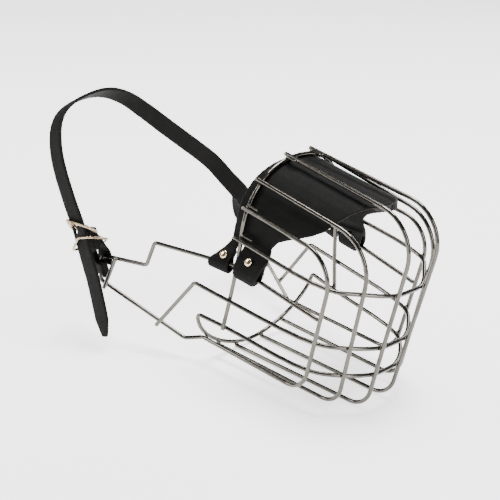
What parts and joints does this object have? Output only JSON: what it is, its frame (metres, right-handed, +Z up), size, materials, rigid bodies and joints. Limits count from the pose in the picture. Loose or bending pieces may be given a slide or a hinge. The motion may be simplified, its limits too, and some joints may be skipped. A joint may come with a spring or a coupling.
{
  "type": "dog muzzle",
  "caption": "Welded wire basket muzzle with a leather nose pad and a buckled neck strap, worn over a large dog's snout.",
  "frame": {"origin": "middle of the rear opening, where the snout goes in and carries the muzzle, 80 mm above the inner bottom wires", "axes": "+X forward along the snout to the nose end, +Y to the animal's left, +Z up; the buckle is on the animal's right"},
  "size_m": [0.2995, 0.1825, 0.1754],
  "materials": {
    "bright_wire": "bright plated",
    "black_leather": "matte, fine grain",
    "brown_suede": "napped",
    "warm_nickel": "polished, warm tint",
    "aged_nickel": "worn plate"
  },
  "bodies": {
    "basket": {"cheek_wire_left": "bright_wire", "cheek_wire_right": "bright_wire", "eye_bar_left": "bright_wire", "eye_bar_right": "bright_wire", "inner_hoop_left": "bright_wire", "inner_hoop_right": "bright_wire", "lower_band": "bright_wire", "middle_band": "bright_wire", "middle_hoop_left": "bright_wire", "middle_hoop_right": "bright_wire", "nose_pad": "black_leather", "outer_hoop_left": "bright_wire", "outer_hoop_right": "bright_wire", "pad_lining": "brown_suede", "prong_inner_left": "bright_wire", "prong_inner_right": "bright_wire", "prong_outer_left": "bright_wire", "prong_outer_right": "bright_wire", "prong_upper_left": "bright_wire", "prong_upper_right": "bright_wire", "rear_rim": "bright_wire", "rivet_cap_left_front": "warm_nickel", "rivet_cap_left_rear": "warm_nickel", "rivet_cap_right_front": "warm_nickel", "rivet_cap_right_rear": "warm_nickel", "rivet_post_left_front": "warm_nickel", "rivet_post_left_rear": "warm_nickel", "rivet_post_right_front": "warm_nickel", "rivet_post_right_rear": "warm_nickel", "upper_band": "bright_wire"},
    "strap": {"neck_strap": "black_leather", "chape": "black_leather", "chape_back": "black_leather", "buckle_frame": "aged_nickel"},
    "tongue": {"buckle_tongue": "aged_nickel"},
    "keeper": {"keeper": "aged_nickel"}
  },
  "joints": [
    {"name": "strap_swing", "type": "hinge", "parent": "basket", "child": "strap", "pos_m": [-0.111, 0, -0.0255], "axis": [0, 1, 0], "range_deg": [-15, 15]},
    {"name": "tongue_lift", "type": "hinge", "parent": "strap", "child": "tongue", "pos_m": [-0.124, -0.08747, 0.00163], "axis": [0.9786, -0.0186, 0.205], "range_deg": [0, 35]},
    {"name": "keeper_slide", "type": "slide", "parent": "strap", "child": "keeper", "axis": [0.4299, 0, -0.9029], "range_m": [0, 0.004]}
  ]
}
